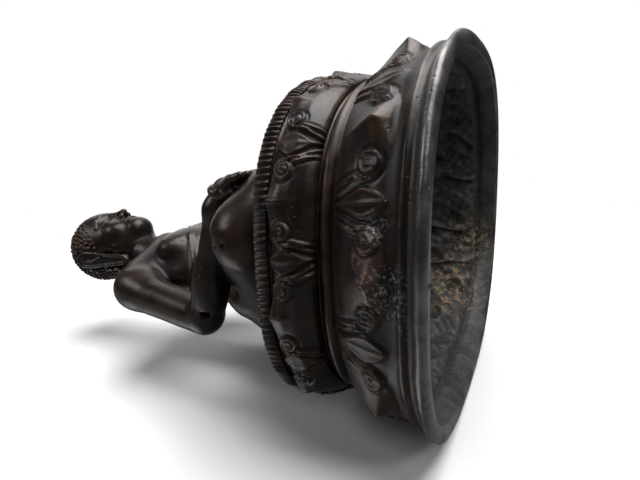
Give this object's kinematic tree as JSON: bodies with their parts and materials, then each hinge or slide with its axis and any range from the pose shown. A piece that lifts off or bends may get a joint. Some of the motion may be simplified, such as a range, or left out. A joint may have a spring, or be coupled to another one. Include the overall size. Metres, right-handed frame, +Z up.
{
  "type": "seated buddha statue",
  "caption": "Cast bronze seated buddha touching the earth, on an oval double-lotus base that is hollow and open underneath.",
  "frame": {"origin": "centre of the footprint on the plane the statue stands on", "axes": "+Z up, the figure faces -Y, its own left side is towards +X"},
  "size_m": [0.2022, 0.157, 0.2466],
  "materials": {
    "bronze": "dark brown patinated bronze, glossy and rubbed warm brown on the ridges"
  },
  "bodies": {
    "root": {"seated_buddha": "bronze"}
  },
  "joints": []
}
